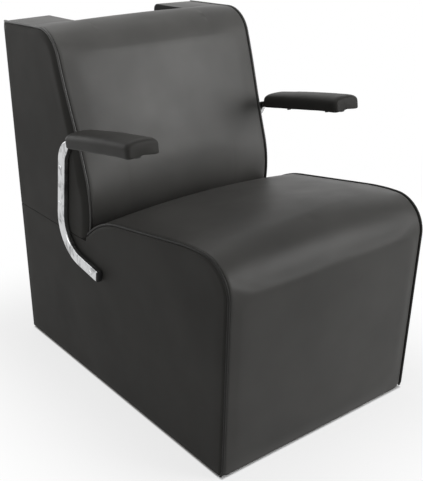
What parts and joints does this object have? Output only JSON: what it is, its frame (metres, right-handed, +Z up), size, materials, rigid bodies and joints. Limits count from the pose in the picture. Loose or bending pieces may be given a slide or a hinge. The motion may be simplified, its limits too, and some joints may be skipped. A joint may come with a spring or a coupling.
{
  "type": "hooded dryer chair",
  "caption": "Box-based upholstered salon chair with piped roll-front seat, leaned back with an open dryer notch behind it and padded bent chrome arms.",
  "frame": {"origin": "on the floor, under the middle of the chair's overall box", "axes": "+X to the sitter's left, +Y towards the rear of the chair, +Z up; the sitter faces -Y"},
  "size_m": [0.6706, 0.8899, 0.8725],
  "materials": {
    "vinyl": "satin",
    "vinyl_side": "satin",
    "piping": "satin",
    "ply": "raw",
    "timber": "raw",
    "foam": "matte",
    "chrome": "polished",
    "zinc": "satin",
    "plastic": "matte",
    "cambric": "matte"
  },
  "bodies": {
    "root": {"glides": "plastic", "corner_blocks": "timber", "dust_cover": "cambric", "base_panel_left": "ply", "base_panel_right": "ply", "front_board": "ply", "rear_board": "ply", "bottom_rail_front": "timber", "bottom_rail_rear": "timber", "seam_rail_front": "timber", "seam_rail_rear": "timber", "deck_cleats": "timber", "deck_rail_front": "timber", "deck_rail_rear": "timber", "seat_deck": "ply", "seat_foam": "foam", "seat_cover": "vinyl", "seat_welt_left": "piping", "seat_welt_right": "piping", "base_side_cover_left": "vinyl_side", "base_side_cover_right": "vinyl_side", "base_rear_cover": "vinyl_side", "back_panel_left": "ply", "back_panel_right": "ply", "pillar_panel_left": "ply", "pillar_panel_right": "ply", "back_board": "ply", "back_top_rail": "timber", "notch_shelf": "ply", "back_bolts": "zinc", "dryer_board": "ply", "dryer_t_nuts": "zinc", "notch_lining": "vinyl_side", "back_cover": "vinyl", "wing_top_left": "vinyl", "wing_top_right": "vinyl", "back_welt_left": "piping", "back_welt_right": "piping", "back_side_cover_left": "vinyl_side", "back_side_cover_right": "vinyl_side", "wing_rear_cover_left": "vinyl_side", "wing_rear_cover_right": "vinyl_side", "arm_tube_left": "chrome", "arm_tube_right": "chrome", "arm_foot_cap_left": "plastic", "arm_foot_cap_right": "plastic", "arm_front_cap_left": "plastic", "arm_front_cap_right": "plastic", "arm_bolts_left": "zinc", "arm_bolts_right": "zinc", "arm_t_nuts_left": "zinc", "arm_t_nuts_right": "zinc", "pad_core_left": "ply", "pad_core_right": "ply", "pad_screws_left": "zinc", "pad_screws_right": "zinc", "arm_pad_left": "vinyl", "arm_pad_right": "vinyl"}
  },
  "joints": []
}
